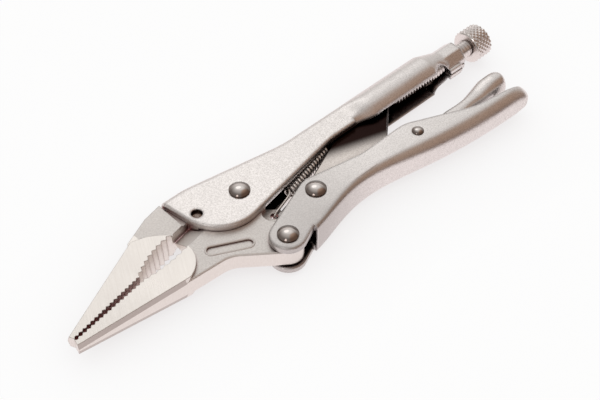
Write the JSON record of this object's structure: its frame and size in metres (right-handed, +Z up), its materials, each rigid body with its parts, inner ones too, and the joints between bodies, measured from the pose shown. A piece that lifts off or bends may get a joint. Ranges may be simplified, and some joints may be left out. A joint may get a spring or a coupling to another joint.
{
  "type": "locking pliers",
  "caption": "Long nose locking pliers with toothed jaws, a wire cutter, an adjusting screw, a release lever and a return spring on an over-centre toggle.",
  "frame": {"origin": "middle of the tool's outline in plan, on the surface that it lies on", "axes": "+X from the jaw tips to the adjusting knob, +Y from the lower handle to the upper handle, +Z up through the thickness, along every pivot"},
  "size_m": [0.1684, 0.041, 0.013],
  "materials": {
    "handle_nickel": "satin nickel plate on pressed sheet steel",
    "jaw_steel": "satin plated forging, ground nose faces",
    "link_nickel": "satin nickel plate",
    "rivet_steel": "plated, set heads",
    "screw_nickel": "plated, knurled knob",
    "spring_wire": "drawn spring wire"
  },
  "bodies": {
    "frame": {"upper_handle": "handle_nickel", "fixed_jaw": "jaw_steel", "fixed_jaw_pin": "rivet_steel", "jaw_pivot_rivet": "rivet_steel", "return_spring": "spring_wire"},
    "jaw": {"moving_jaw": "jaw_steel"},
    "handle": {"lower_handle": "handle_nickel", "handle_pivot_rivet": "rivet_steel", "link_rivet": "rivet_steel", "release_lever_rivet": "rivet_steel"},
    "link": {"toggle_link": "link_nickel"},
    "lever": {"release_lever": "link_nickel"},
    "screw": {"adjusting_screw": "screw_nickel"}
  },
  "joints": [
    {"name": "jaw_pivot", "type": "hinge", "parent": "frame", "child": "jaw", "pos_m": [-0.02005, 0.0085, 0.0065], "axis": [0, 0, 1], "range_deg": [0, 18], "deforming": ["return_spring"]},
    {"name": "handle_pivot", "type": "hinge", "parent": "jaw", "child": "handle", "pos_m": [-0.02155, -0.0129, 0.0065], "axis": [0, 0, 1], "range_deg": [-60, 0]},
    {"name": "link_pivot", "type": "hinge", "parent": "handle", "child": "link", "pos_m": [-0.00445, -0.006, 0.0065], "axis": [0, 0, 1], "range_deg": [0, 60]},
    {"name": "release_lever_pivot", "type": "hinge", "parent": "handle", "child": "lever", "pos_m": [0.03325, -0.0096, 0.0065], "axis": [0, 0, 1], "range_deg": [-6, 0]},
    {"name": "screw_travel", "type": "slide", "parent": "frame", "child": "screw", "axis": [1, 0, 0], "range_m": [0, 0.01]}
  ],
  "couplings": [
    {"joint": "jaw_pivot", "follows": "handle_pivot", "ratio": -0.3},
    {"joint": "link_pivot", "follows": "handle_pivot", "ratio": -1}
  ]
}
